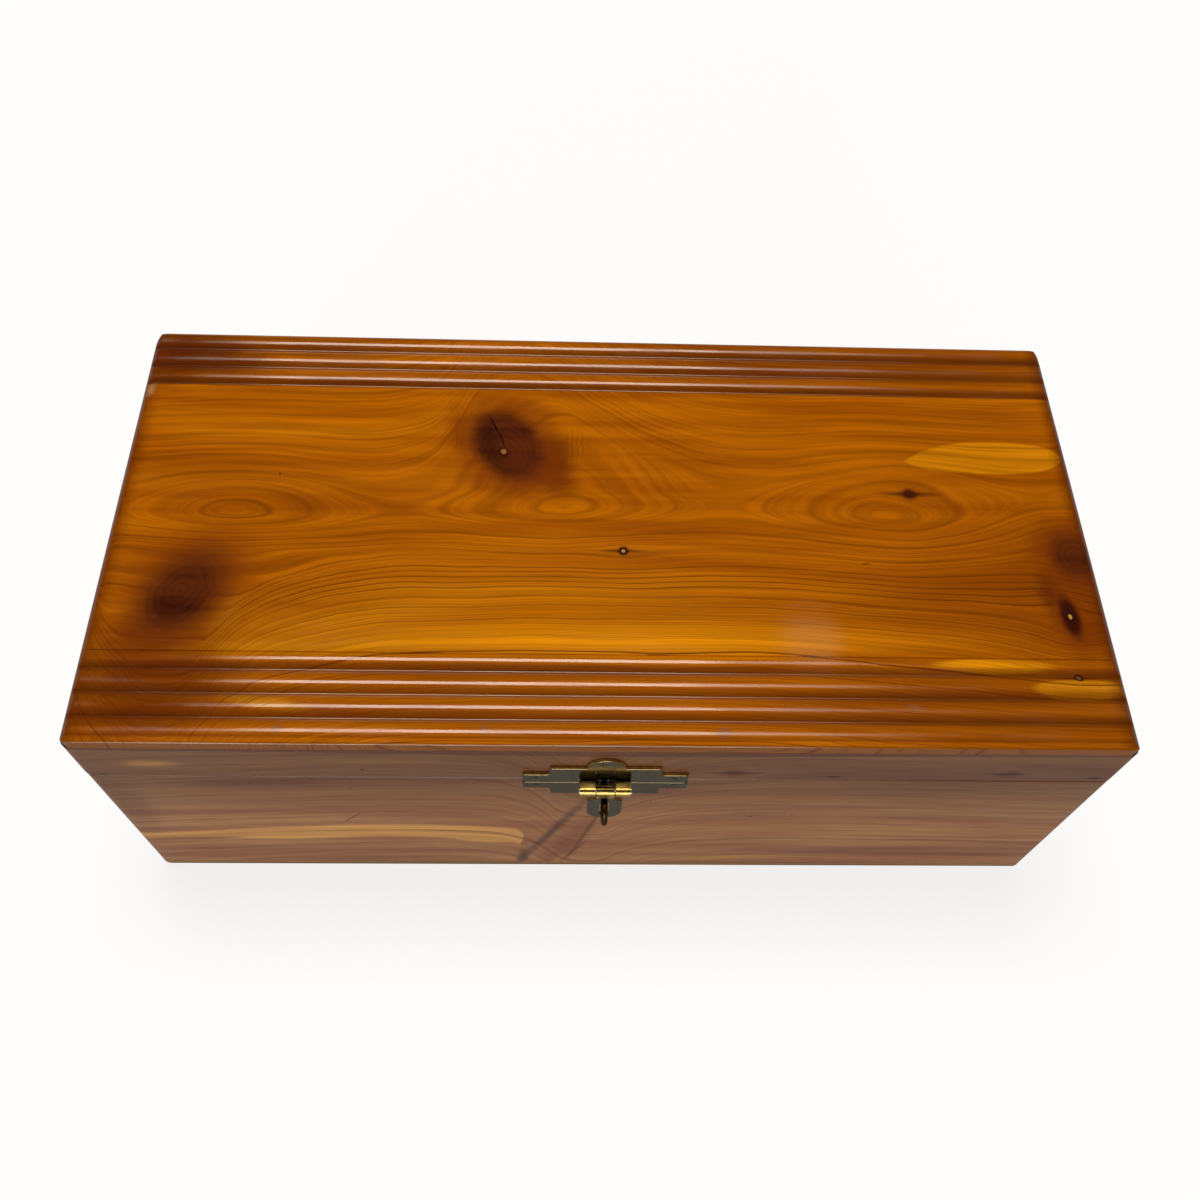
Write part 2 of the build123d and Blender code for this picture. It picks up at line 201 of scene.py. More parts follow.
LID_FIGURE = Figure(
    axes="XYZ", flip=(1, 1, -1), face=LID_TOP_HEIGHT / MM, pith=1.5, loop_at=-115.0, loop_pitch=102.0,
    pith_depth=1.5, pith_swing=8.6, closing=0.02, contrast=1.3, ring=2.35, back_ring=0.6,
    faint=(2.0, -24.0, 0.38),
    lifts=(
        Lift(9.0, True, ((-150, 0), (-80, 0), (-62, 3), (-50, 13), (-42, 28), (-33, 35), (-20, 31),
                         (0, 18), (20, 8), (40, 3), (65, 0), (150, 0))),
        Lift(-12.0, False, ((-150, 14), (-138, 28), (-127, 34), (-116, 24), (-106, 12), (-92, 5), (-76, 1.5),
                            (-60, 0), (150, 0))),
    ),
    bands=(
        Band(((-155, 60), (90, 40), (96, 26.0), (100, 22.8), (108, 20.8), (118, 20.0), (130, 19.8),
              (141, 21.0), (148, 23.5), (151, 27.5), (155, 40)),
             ((-155, 10), (90, 14), (96, 23.0), (102, 27.2), (110, 30.6), (118, 32.3), (130, 32.6),
              (141, 31.8), (148, 29.6), (151, 27.0), (155, 14)), "#E8960A", 0.95, soft=1.0),
    ),
    valleys=((-53.19, -50.5, -80.0), (53.19, 51.8, 80.0)),
    ripples=(((-10.5, 28.5), (7, 9)), ((-47.5, 30), (2.2, 7))),
    knots=(
        Knot((-31.6, 28.3), (11.6, 15.4), turn=24, heart=(-32.8, 25.6), rings=1.9, soft=0.35,
             core="#A8733A", core_size=0.95, halo=1.0),
        Knot((-126.0, -29.0), (12.5, 18.5), turn=-28, heart=(-127, -28), rings=2.1, soft=0.6, halo=1.0),
        Knot((5.2, -12.0), (1.9, 1.9), soft=0.5, push=(8, 3), wings=(11, 1.1),
             core="#B98A4A", core_size=0.75),
        Knot((97.4, 11.2), (2.6, 2.3), soft=0.6, rings=0.8, push=(11, 4), wings=(14, 1.6), halo=0.5),
        Knot((146.5, -11.5), (8.5, 10.0), turn=8, soft=0.5, dark=0.9, rings=2.4, push=(16, 14), halo=0.8),
        Knot((140.2, -33.6), (3.2, 8.0), turn=6, soft=0.5, push=(11, 10),
             core="#B59040", core_size=0.6, halo=1.0),
        Knot((139.0, -53.6), (1.8, 1.4), soft=0.5, wings=(13, 0.9), core="#7D6A3C", core_size=0.8),
    ),
    tints=(
        # lighter wood across the front of the field, with a painted sheen on it where the field is brightest
        Tint((0, -43.0), (100, 6), "#FCA408", 0.8, soft=0.9),
        Tint((0, -34), (120, 12), "#D07E06", 0.4, soft=0.95),
        Tint((-30, -27), (66, 5), "#DC8C06", 0.45, turn=1.5, soft=0.9),
        Tint((-72, -36), (34, 4), "#E09208", 0.5, turn=8, soft=0.9, ragged=0.3),
        Tint((-90, -46.5), (45, 3), "#E89A08", 0.6, turn=2, soft=0.9),
        Tint((112, -10), (60, 75), "#A05402", 0.4, soft=0.95),
        Tint((112, -26), (34, 13), "#8A4202", 0.55, soft=0.9),
        Tint((-122, 14), (34, 8), "#94500A", 0.4, soft=0.9),
        Tint((-105, -22), (50, 34), "#8E4A04", 0.22, soft=0.95),
        Tint((-95, 32), (50, 2.6), "#D4820A", 0.6, turn=2, soft=0.9),
        Tint((-56, 39), (30, 2.6), "#CC7A08", 0.5, turn=17, soft=0.9),
        Tint((114, -50.3), (19, 2.4), "#EE9C0C", 0.85, soft=0.3),
        Tint((139, -57.6), (15, 3.4), "#EE9C0C", 0.95, soft=0.2),
        Tint((-98, -64.0), (13, 2.2), "#D9921C", 0.75, turn=-8, soft=0.6, ragged=0.3),
        Tint((-112, -36.0), (4, 9), "#C8860F", 0.5, turn=-20, soft=0.8, ragged=0.4),
        Tint((-136, 66), (26, 12), "#4A1808", 0.8, turn=-6, soft=0.8, ragged=0.5),
        Tint((-146, 60), (10, 12), "#5A2008", 0.7, soft=0.8, ragged=0.4),
        Tint((-130, -60), (26, 15), "#561E06", 0.7, turn=8, soft=0.8, ragged=0.5),
        Tint((-140, -48), (12, 10), "#5A2208", 0.5, turn=30, soft=0.8, ragged=0.5),
        Tint((-95, 70), (30, 7), "#7E3E0C", 0.5, turn=-3, soft=0.9, ragged=0.4),
        Tint((80, 67), (110, 12), "#7A3A08", 0.6, soft=0.9),
        Tint((115, -66), (60, 11), "#8A4A08", 0.45, soft=0.9),
        Tint((144, -34), (9, 17), "#7A3408", 0.8, soft=0.9, ragged=0.3),
        Tint((143, -12), (10, 13), "#6E2E08", 0.75, turn=12, soft=0.9, ragged=0.4),
        Tint((137, -30), (20, 28), "#843E06", 0.5, soft=0.9, ragged=0.4),
        Tint((136.5, -27), (4.5, 9), "#4A1E08", 0.7, turn=10, soft=0.9, ragged=0.5),
        Tint((-17, 22), (7, 15), "#6E3008", 0.85, turn=14, soft=0.8, ragged=0.35),
        Tint((-27, 44), (14, 4), "#8A440A", 0.6, turn=-8, soft=0.8, ragged=0.35),
        Tint((-24, 19), (11, 11), "#7A3408", 0.8, turn=30, soft=0.8, ragged=0.4),
        Tint((-45, 30), (5, 15), "#83400A", 0.6, turn=18, soft=0.8, ragged=0.35),
        Tint((-40, 14), (14, 5), "#8E4A0A", 0.5, turn=-20, soft=0.8, ragged=0.35),
        # painted shade where the board's ends round over, darker towards each end
        Tint((-153.0, 0), (6, 200), "#6A2E04", 0.75, soft=0.8),
        Tint((153.0, 0), (6, 200), "#622A04", 0.85, soft=0.8),
        Tint((0, -76.9), (900, 1.3), "#8E5204", 0.9, soft=0.3),
    ),
    marks=(
        Tint((-36.2, 36.6), (0.32, 4.6), "#140804", 0.95, turn=24, soft=0.5, ragged=0.12),
        Tint((-33.4, 30.2), (0.28, 3.6), "#140804", 0.9, turn=18, soft=0.5, ragged=0.12),
        Tint((-31.6, 24.4), (0.25, 2.6), "#140804", 0.8, turn=-30, soft=0.5, ragged=0.12),
        Tint((-27.2, 23.0), (5.5, 9), "#642C14", 0.5, turn=24, soft=0.9, ragged=0.4),
        Tint((-38.5, 32.0), (4.5, 10), "#2A100C", 0.55, turn=16, soft=0.9, ragged=0.4),
        Tint((-149.8, 49.0), (2.0, 3.4), "#D2A878", 0.5, soft=0.9, ragged=0.5),
        Tint((61, -42), (8, 10), "#D0A078", 0.13, turn=4, soft=0.9, ragged=0.9),
        Tint((-92.5, -72.2), (2.2, 1.4), "#8E5C3C", 0.6, soft=0.6, ragged=0.6),
        Tint((-35.0, -72.2), (1.2, 1.6), "#8E5C3C", 0.6, soft=0.6, ragged=0.6),
        Tint((32.5, -72.4), (2.4, 1.7), "#8E5C3C", 0.6, soft=0.6, ragged=0.6),
        Tint((88.5, -64.2), (3.6, 1.7), "#8E5C3C", 0.6, turn=-8, soft=0.6, ragged=0.6),
        Tint((80.0, -15.5), (1.8, 0.25), "#3A1808", 0.7, turn=12, soft=0.6, ragged=0.1),
        Tint((-103.0, 15.4), (0.4, 0.5), "#2A1208", 0.8, soft=0.6),
    ),
)


FRONT_FIGURE = Figure(
    axes="XZY", flip=(1, 1, 1), face=FRONT_FACE / MM, pith=-30.0, loop_at=-60.0, loop_pitch=300.0,
    pith_depth=9.0, pith_swing=6.0, ring=3.2, back_ring=0.5, contrast=0.55, seed=2.0,
    lifts=(
        Lift(-1000.0, True, ((-150, 29), (-100, 33), (-60, 35), (-40, 34), (-27, 29), (-18, 18), (-10, 6),
                             (-3, 4), (6, 12), (18, 22), (36, 29), (60, 32), (90, 31), (150, 27))),
    ),
    bands=(
        # a painted shadow, dark red, under the top board's overhang
        Band(((-155, 101.0), (-60, 100.2), (0, 99.0), (60, 100.0), (155, 101.2)), ((-155, 108), (155, 108)),
             "#5E1A0E", 0.85, soft=0.8),
        Band(((-155, 102.4), (155, 102.4)), ((-155, 110), (155, 110)), "#2A140C", 0.8, soft=0.5),
        Band(((-155, 26.5), (-130, 28.5), (-110, 27.2), (-90, 28.5), (-70, 30.4), (-52, 28.6), (-40, 25.2),
              (-29, 24.0), (-26, 22), (-24.2, 45), (155, 46)),
             ((-155, 31.5), (-130, 34.5), (-110, 37.5), (-90, 40.0), (-70, 41.2), (-52, 41.4), (-36, 40.0),
              (-27, 37.5), (-24, 30), (155, 30)), "#EEB468", 0.85, soft=3.0),
        # painted shade, darker towards the top of the front where less light reaches
        Band(((-155, 62), (155, 62)), ((-155, 119), (155, 119)), "#664632", 0.72, soft=50.0),
        Band(((-155, -6.0), (155, -6.0)), ((-155, 1.4), (155, 1.4)), "#6A624C", 0.65, soft=1.6),
    ),
    knots=(
        Knot((38.0, 87.4), (3.4, 2.6), soft=0.9, rings=1.0, dark=0.75, push=(12, 5), wings=(14, 1.2),
             halo=0.4),
        Knot((68.0, 85.0), (1.3, 1.0), soft=0.8, dark=0.8, push=(7, 3), wings=(5, 0.8)),
        Knot((120.5, 87.8), (3.2, 2.6), soft=0.9, rings=1.0, dark=0.75, push=(12, 5), wings=(9, 1.4),
             halo=0.4),
        Knot((147.5, 85.2), (1.8, 1.3), soft=0.8, dark=0.8, push=(7, 3), wings=(7, 0.9)),
    ),
    tints=(
        Tint((-132, 91.8), (8, 2.6), "#C08E52", 0.7, soft=0.8),
        Tint((-105, 78), (26, 6), "#5A3A34", 0.45, soft=0.9),
        Tint((-60, 82), (60, 4), "#5A3A34", 0.3, soft=0.9),
        Tint((-148, 60), (8, 30), "#5E3E38", 0.4, soft=0.9),
        Tint((120, 88), (60, 9), "#5A3A34", 0.4, soft=0.9),
        Tint((60, 90), (40, 9), "#5E3C34", 0.35, soft=0.9),
        Tint((118, 39), (44, 4.5), "#B07E50", 0.5, soft=0.9),
        Tint((52, 66), (44, 4.5), "#A8784C", 0.45, soft=0.9),
        Tint((60, 44), (36, 5), "#A8784C", 0.35, soft=0.9),
        Tint((105, 17), (62, 5), "#6E4440", 0.5, soft=0.9),
        Tint((42, 9.5), (24, 2.4), "#C89A58", 0.7, turn=3, soft=0.9),
        Tint((-34, 60), (22, 5), "#A8784C", 0.4, turn=-6, soft=0.9),
        Tint((-86, 62), (40, 5), "#A07048", 0.3, soft=0.9),
        Tint((-90, 14), (80, 6), "#8E5C4C", 0.4, soft=0.9),
        Tint((-11, 24), (5.5, 30), "#7C3C38", 0.5, turn=-18, soft=0.9),
        Tint((-15.0, 38), (34, 1.9), "#3E3038", 0.7, turn=70, soft=0.9, ragged=0.15),
        Tint((-26.0, 9), (10, 2.3), "#42323A", 0.7, turn=84, soft=0.9, ragged=0.15),
        Tint((-4.0, 38), (26, 0.9), "#4E3420", 0.6, turn=78, soft=0.9, ragged=0.15),
        Tint((-10.0, 12), (14, 0.8), "#4E3420", 0.6, turn=68, soft=0.9, ragged=0.15),
        Tint((-13.5, 6), (7, 1.6), "#C09254", 0.7, turn=72, soft=0.9),
    ),
    marks=(
        Tint((-80, 48), (6.2, 0.35), "#3A2418", 0.7, turn=52, soft=0.6, ragged=0.1),
        Tint((-71.5, 88), (0.8, 0.8), "#3A2418", 0.8, soft=0.6),
        Tint((-147.5, 83.6), (1.4, 0.5), "#2A1810", 0.8, soft=0.6),
        Tint((-77, 73.5), (1.2, 0.3), "#3A2418", 0.6, turn=20, soft=0.6),
        Tint((-37.5, 79.8), (1.6, 0.35), "#3A2418", 0.6, turn=-30, soft=0.6),
        Tint((48.5, 51), (0.9, 0.6), "#3A2418", 0.7, turn=60, soft=0.6),
        Tint((61.5, 52.5), (0.7, 0.3), "#3A2418", 0.6, turn=60, soft=0.6),
        Tint((37.5, 73.8), (1.6, 0.3), "#3A2418", 0.5, turn=10, soft=0.6),
        Tint((15, 63.2), (0.5, 0.6), "#3A2418", 0.7, soft=0.6),
    ),
)


def board_space(tree, figure):
    """The board's own millimetres: along the grain, across it, and down from its face."""
    place = add(tree, "ShaderNodeTexCoord")
    split = add(tree, "ShaderNodeSeparateXYZ", {0: place.outputs["Object"]})
    along, across, down = (split.outputs[a] for a in figure.axes)
    joined = add(tree, "ShaderNodeCombineXYZ", {0: along, 1: across, 2: down})
    scale = tuple(f / MM for f in figure.flip)
    shift = (0.0, 0.0, -figure.flip[2] * figure.face)
    return add(tree, VECTOR, {0: joined, 1: scale, 2: shift}, operation="MULTIPLY_ADD"), place


def ellipse(tree, space, at, size, turn=0.0):
    """A vector whose length is 1 on the rim of an ellipse drawn on the board's face."""
    return add(
        tree, MAPPING,
        {"Vector": space, "Location": (*at, 0), "Rotation": (0, 0, math.radians(turn)),
         "Scale": (*size, 1000)},
        vector_type="TEXTURE",
    )


def rim_distance(tree, space, at, size, turn=0.0):
    """How far out a place lies in an ellipse on the board's face: 0 at its middle and 1 on its rim."""
    near = ellipse(tree, space, at, size, turn)
    return add(tree, VECTOR, {0: near}, operation="LENGTH").outputs["Value"]


def drawn(tree, along, points, span=CURVE_SPAN):
    """The height in millimetres of a smooth line through the points, at this place along the board."""
    unit = add(tree, RANGE, {"Value": along, 1: -CURVE_REACH, 2: CURVE_REACH})
    line = add(tree, "ShaderNodeFloatCurve", {"Value": unit})
    curve = line.mapping.curves[0]
    for _ in points[2:]:
        curve.points.new(0.5, 0.0)
    for point, (x, height) in zip(curve.points, points):
        point.location = ((x + CURVE_REACH) / (2 * CURVE_REACH), height / span)
    line.mapping.update()
    return add(tree, MATH, {0: line, 1: span}, operation="MULTIPLY")


def tinted(tree, space, slow, fine, colour, tint):
    """The colour with one patch laid over it, its edge made ragged by the grain's own noise."""
    far = rim_distance(tree, space, tint.at, tint.size, tint.turn)
    far = add(tree, MATH, {0: slow, 1: tint.ragged * 2.4, 2: far}, operation="MULTIPLY_ADD")
    far = add(tree, MATH, {0: fine, 1: tint.ragged * 1.6, 2: far}, operation="MULTIPLY_ADD")
    mean = 1.0 + tint.ragged * 2.0
    mask = add(
        tree, RANGE,
        {"Value": far, 1: mean + tint.soft * 0.5, 2: mean - tint.soft, 3: 0.0, 4: tint.amount},
        interpolation_type="SMOOTHSTEP",
    )
    return add(tree, MIX, {0: mask, 6: colour, 7: paint(tint.colour)}, data_type="RGBA").outputs[2]


def within_walls(tree, place, half, above=None):
    """1 on faces more than a millimetre inside the outer walls, and under a level if one is given."""
    split = add(tree, "ShaderNodeSeparateXYZ", {0: place.outputs["Object"]})
    depths = []
    for socket, reach in zip(split.outputs, half):
        out = add(tree, MATH, {0: socket}, operation="ABSOLUTE")
        depths.append(add(tree, MATH, {0: reach - 1.4 * MM, 1: out}, operation="SUBTRACT"))
    deep = add(tree, MATH, {0: depths[0], 1: depths[1]}, operation="MINIMUM")
    if above is not None:
        under = add(tree, MATH, {0: above, 1: split.outputs["Z"]}, operation="SUBTRACT")
        deep = add(tree, MATH, {0: deep, 1: under}, operation="MINIMUM")
    return add(tree, RANGE, {"Value": deep, 1: -0.2 * MM, 2: 0.2 * MM})


def cedar(name, figure, early, late, knot_dark, rough, bare, above=None, level=0.5):
    """Aromatic red cedar, planed and brush varnished: an even amber with thin dark latewood lines."""
    material, tree, shader = new_material(name)
    space, place = board_space(tree, figure)
    shifted = add(tree, VECTOR, {0: space, 1: (figure.seed * 37.0, figure.seed * 11.0, 0)}, operation="ADD")

    # the trunk's slow wander, 70 mm long, and the fibre's own, 14 mm long
    slow_place = add(tree, VECTOR, {0: shifted, 1: (1 / 70, 1 / 26, 1 / 26)}, operation="MULTIPLY")
    slow = add(tree, NOISE, {"Vector": slow_place, "Scale": 1.0, "Detail": 2.0, "Roughness": 0.5})
    fine_place = add(tree, VECTOR, {0: shifted, 1: (1 / 14, 1 / 3.2, 1 / 3.2)}, operation="MULTIPLY")
    fine = add(tree, NOISE, {"Vector": fine_place, "Scale": 1.0, "Detail": 3.0, "Roughness": 0.6})

    split = add(tree, "ShaderNodeSeparateXYZ", {0: space})
    along, across, down = split.outputs
    # grain that flows round the knots
    flow = across
    for knot in figure.knots:
        if not knot.push:
            continue
        near = ellipse(tree, space, knot.at, knot.push)
        spread = add(tree, VECTOR, {0: near, 1: near}, operation="DOT_PRODUCT")
        offset = add(tree, MATH, {0: across, 1: knot.at[1]}, operation="SUBTRACT")
        grown = add(tree, MATH, {0: spread.outputs["Value"], 1: 1.0}, operation="ADD")
        pushed = add(tree, MATH, {0: offset, 1: grown}, operation="DIVIDE")
        flow = add(tree, MATH, {0: flow, 1: pushed}, operation="SUBTRACT")
    for lift in figure.lifts:
        bulge = drawn(tree, along, lift.shape, LIFT_SPAN)
        sign = -1.0 if lift.upward else 1.0
        first, second = ("SMOOTH_MIN", "SMOOTH_MAX") if lift.upward else ("SMOOTH_MAX", "SMOOTH_MIN")
        beyond = add(tree, MATH, {0: bulge, 1: sign, 2: flow}, operation="MULTIPLY_ADD")
        held = add(tree, MATH, {0: flow, 1: lift.edge, 2: 3.0}, operation=first)
        rest = add(tree, MATH, {0: flow, 1: held}, operation="SUBTRACT")
        held = add(tree, MATH, {0: rest, 1: 0.22, 2: held}, operation="MULTIPLY_ADD")
        flow = add(tree, MATH, {0: beyond, 1: held, 2: 4.0}, operation=second)
    slow_mm, fine_mm = (
        add(tree, RANGE, {"Value": noise, 1: 0.25, 2: 0.75, 3: -size, 4: size}, clamp=False)
        for noise, size in ((slow, SLOW_WANDER), (fine, FINE_WANDER))
    )
    wander = add(tree, MATH, {0: slow_mm, 1: fine_mm}, operation="ADD")
    flow = add(tree, MATH, {0: flow, 1: wander}, operation="ADD")
    side = add(tree, MATH, {0: flow, 1: figure.pith}, operation="SUBTRACT")
    behind = add(tree, MATH, {0: side, 1: 0.0}, operation="MAXIMUM")
    before = add(tree, MATH, {0: side, 1: 0.0}, operation="MINIMUM")
    behind = add(tree, MATH, {0: behind, 1: figure.back_ring}, operation="MULTIPLY")
    # years nearer the bark are narrower
    closer = add(tree, MATH, {0: before, 1: -figure.closing, 2: 1.0}, operation="MULTIPLY_ADD")
    before = add(tree, MATH, {0: before, 1: closer}, operation="MULTIPLY")
    side = add(tree, MATH, {0: behind, 1: before}, operation="ADD")
    # the heart lies under the board and comes nearest at each loop of the figure
    turn = add(
        tree, MATH,
        {0: along, 1: math.pi / figure.loop_pitch, 2: -math.pi * figure.loop_at / figure.loop_pitch},
        operation="MULTIPLY_ADD",
    )
    wave = add(tree, MATH, {0: turn}, operation="SINE")
    wave = add(tree, MATH, {0: wave, 1: figure.pith_swing}, operation="MULTIPLY")
    wave = add(tree, MATH, {0: wave, 1: wave, 2: figure.pith_depth ** 2}, operation="MULTIPLY_ADD")
    height = add(tree, MATH, {0: wave}, operation="SQRT")
    height = add(tree, MATH, {0: height, 1: down}, operation="SUBTRACT")
    arm = add(tree, "ShaderNodeCombineXYZ", {0: side, 1: height})
    radius = add(tree, VECTOR, {0: arm}, operation="LENGTH").outputs["Value"]
    count = add(tree, MATH, {0: radius, 1: 1 / figure.ring}, operation="MULTIPLY")
    uneven = add(tree, NOISE, {"W": count, "Scale": 0.37, "Detail": 1.0}, noise_dimensions="1D")
    count = add(tree, MATH, {0: uneven, 1: 2.6, 2: count}, operation="MULTIPLY_ADD")
    year = add(tree, MATH, {0: count}, operation="FLOOR")
    season = add(tree, MATH, {0: count}, operation="FRACT")
    mood = add(tree, "ShaderNodeTexWhiteNoise", {"W": year}, noise_dimensions="1D").outputs["Value"]

    # earlywood darkens slowly, then stops at the thin latewood line
    late_line = add(tree, MATH, {0: season, 1: 6.0}, operation="POWER")
    edge = add(tree, RANGE, {"Value": season, 1: 1.0, 2: 0.88, 3: 0.0, 4: 1.0})
    late_line = add(tree, MATH, {0: late_line, 1: edge}, operation="MULTIPLY")
    slope = add(tree, MATH, {0: season, 1: 1.6}, operation="POWER")
    strength = add(tree, MATH, {0: mood, 1: 2.2}, operation="POWER")
    strength = add(tree, RANGE, {"Value": strength, 3: 0.3, 4: 1.25})
    strength = add(tree, MATH, {0: strength, 1: figure.contrast}, operation="MULTIPLY")
    if figure.faint:
        start, end, amount = figure.faint
        bold = add(
            tree, RANGE, {"Value": across, 1: start, 2: end, 3: amount, 4: 1.0},
            interpolation_type="SMOOTHSTEP",
        )
        strength = add(tree, MATH, {0: strength, 1: bold}, operation="MULTIPLY")
    late_line = add(tree, MATH, {0: late_line, 1: strength}, operation="MULTIPLY")
    slope = add(tree, MATH, {0: slope, 1: strength}, operation="MULTIPLY")
    slope = add(tree, MATH, {0: slope, 1: 0.2}, operation="MULTIPLY")
    late_line = add(tree, MATH, {0: late_line, 1: 0.95, 2: slope}, operation="MULTIPLY_ADD", use_clamp=True)

    # bands of lighter and redder wood, and fibre flecks
    band_place = add(tree, VECTOR, {0: shifted, 1: (1 / 110, 1 / 8, 1 / 8)}, operation="MULTIPLY")
    band = add(tree, NOISE, {"Vector": band_place, "Scale": 1.0, "Detail": 3.0, "Roughness": 0.55})
    flowing = add(tree, "ShaderNodeCombineXYZ", {0: along, 1: count, 2: down})
    fleck_scale = (1 / 60, figure.ring / FLECK_WIDTH, 1 / FLECK_WIDTH)
    fleck_place = add(tree, VECTOR, {0: flowing, 1: fleck_scale}, operation="MULTIPLY")
    fleck = add(tree, NOISE, {"Vector": fleck_place, "Scale": 1.0, "Detail": 2.0, "Roughness": 0.6})
    band_amount = add(tree, RANGE, {"Value": band, 1: 0.3, 2: 0.7}, interpolation_type="SMOOTHSTEP")
    wood = add(
        tree, MIX, {0: band_amount, 6: paint(early[0]), 7: paint(early[1])}, data_type="RGBA"
    ).outputs[2]
    for streak in figure.bands:
        rough_edge = add(tree, MATH, {0: fine_mm, 1: 3.0, 2: across}, operation="MULTIPLY_ADD")
        over = add(tree, MATH, {0: rough_edge, 1: drawn(tree, along, streak.low)}, operation="SUBTRACT")
        under = add(tree, MATH, {0: drawn(tree, along, streak.high), 1: rough_edge}, operation="SUBTRACT")
        within = add(tree, MATH, {0: over, 1: under}, operation="MINIMUM")
        within = add(
            tree, RANGE, {"Value": within, 1: -streak.soft / 2, 2: streak.soft / 2, 3: 0.0, 4: streak.amount},
            interpolation_type="SMOOTHSTEP",
        )
        wood = add(tree, MIX, {0: within, 6: wood, 7: paint(streak.colour)}, data_type="RGBA").outputs[2]
    for tint in figure.tints:
        wood = tinted(tree, space, slow, fine, wood, tint)
    lined = add(tree, MIX, {0: late_line, 6: wood, 7: paint(late)}, data_type="RGBA").outputs[2]
    fleck_amount = add(tree, RANGE, {"Value": fleck, 1: 0.38, 2: 0.7, 3: 0.0, 4: 0.38})
    lined = add(tree, MIX, {0: fleck_amount, 6: lined, 7: paint(late)}, data_type="RGBA").outputs[2]

    for knot in figure.knots:
        heart = knot.heart or knot.at
        far = rim_distance(tree, space, knot.at, knot.size, knot.turn)
        far = add(tree, MATH, {0: fine, 1: 0.3, 2: far}, operation="MULTIPLY_ADD")
        if knot.halo:
            glow = add(
                tree, RANGE, {"Value": far, 1: 2.1, 2: 1.0, 3: 0.0, 4: knot.halo * 0.6},
                interpolation_type="SMOOTHSTEP",
            )
            lined = add(tree, MIX, {0: glow, 6: lined, 7: paint("#7E3708")}, data_type="RGBA").outputs[2]
        if knot.wings:
            wing = rim_distance(tree, space, knot.at, knot.wings)
            wing = add(
                tree, RANGE, {"Value": wing, 1: 1.0, 2: 0.1, 3: 0.0, 4: 0.75},
                interpolation_type="SMOOTHSTEP",
            )
            lined = add(tree, MIX, {0: wing, 6: lined, 7: paint(knot_dark)}, data_type="RGBA").outputs[2]
        mask = add(
            tree, RANGE,
            {"Value": far, 1: 1.15 + knot.soft * 0.5, 2: 1.15 - knot.soft, 3: 0.0, 4: knot.dark},
            interpolation_type="SMOOTHSTEP",
        )
        inside = paint(knot_dark)
        if knot.rings:
            eye = rim_distance(tree, space, heart, knot.size, knot.turn)
            eye = add(tree, MATH, {0: fine, 1: 0.25, 2: eye}, operation="MULTIPLY_ADD")
            eye = add(tree, MATH, {0: slow, 1: 0.7, 2: eye}, operation="MULTIPLY_ADD")
            rate = 2 * math.pi * min(knot.size) / knot.rings
            eye = add(tree, MATH, {0: eye, 1: rate}, operation="MULTIPLY")
            eye = add(tree, MATH, {0: eye}, operation="SINE")
            eye = add(tree, RANGE, {"Value": eye, 1: -1.0, 2: 1.0, 3: 0.0, 4: 0.1})
            paler = add(tree, RANGE, {"Value": band, 1: 0.35, 2: 0.65, 3: 0.0, 4: 0.4})
            eye = add(tree, MATH, {0: eye, 1: paler}, operation="ADD")
            inside = add(
                tree, MIX, {0: eye, 6: paint(knot_dark), 7: paint("#7A3A12")}, data_type="RGBA"
            ).outputs[2]
        lined = add(tree, MIX, {0: mask, 6: lined, 7: inside}, data_type="RGBA").outputs[2]
        if knot.core:
            size = (knot.core_size, knot.core_size * max(1.0, 0.45 * knot.size[1] / knot.size[0] + 0.5))
            rim = rim_distance(tree, space, heart, size, knot.turn)
            rim = add(tree, MATH, {0: fine, 1: 0.8, 2: rim}, operation="MULTIPLY_ADD")
            outline = add(tree, RANGE, {"Value": rim, 1: 2.3, 2: 1.5, 3: 0.0, 4: 0.85})
            lined = add(tree, MIX, {0: outline, 6: lined, 7: paint("#180A05")}, data_type="RGBA").outputs[2]
            spot = add(tree, RANGE, {"Value": rim, 1: 1.45, 2: 1.15})
            lined = add(tree, MIX, {0: spot, 6: lined, 7: paint(knot.core)}, data_type="RGBA").outputs[2]

    for mark in figure.marks:
        lined = tinted(tree, space, slow, fine, lined, mark)
    for at, size in figure.ripples:
        # curly grain beside the knot, drawn as short cross lines
        near = rim_distance(tree, space, at, size)
        near = add(
            tree, RANGE, {"Value": near, 1: 1.0, 2: 0.3, 3: 0.0, 4: 0.3}, interpolation_type="SMOOTHSTEP",
        )
        cross = add(tree, MATH, {0: fine, 1: 2.0, 2: along}, operation="MULTIPLY_ADD")
        cross = add(tree, MATH, {0: cross, 1: 2 * math.pi / CURL_PITCH}, operation="MULTIPLY")
        cross = add(tree, MATH, {0: cross}, operation="SINE")
        cross = add(tree, RANGE, {"Value": cross, 1: 0.2, 2: 1.0})
        cross = add(tree, MATH, {0: cross, 1: near}, operation="MULTIPLY")
        lined = add(tree, MIX, {0: cross, 6: lined, 7: paint("#6A3008")}, data_type="RGBA").outputs[2]
    reeded = None
    for first, start, end in figure.valleys:
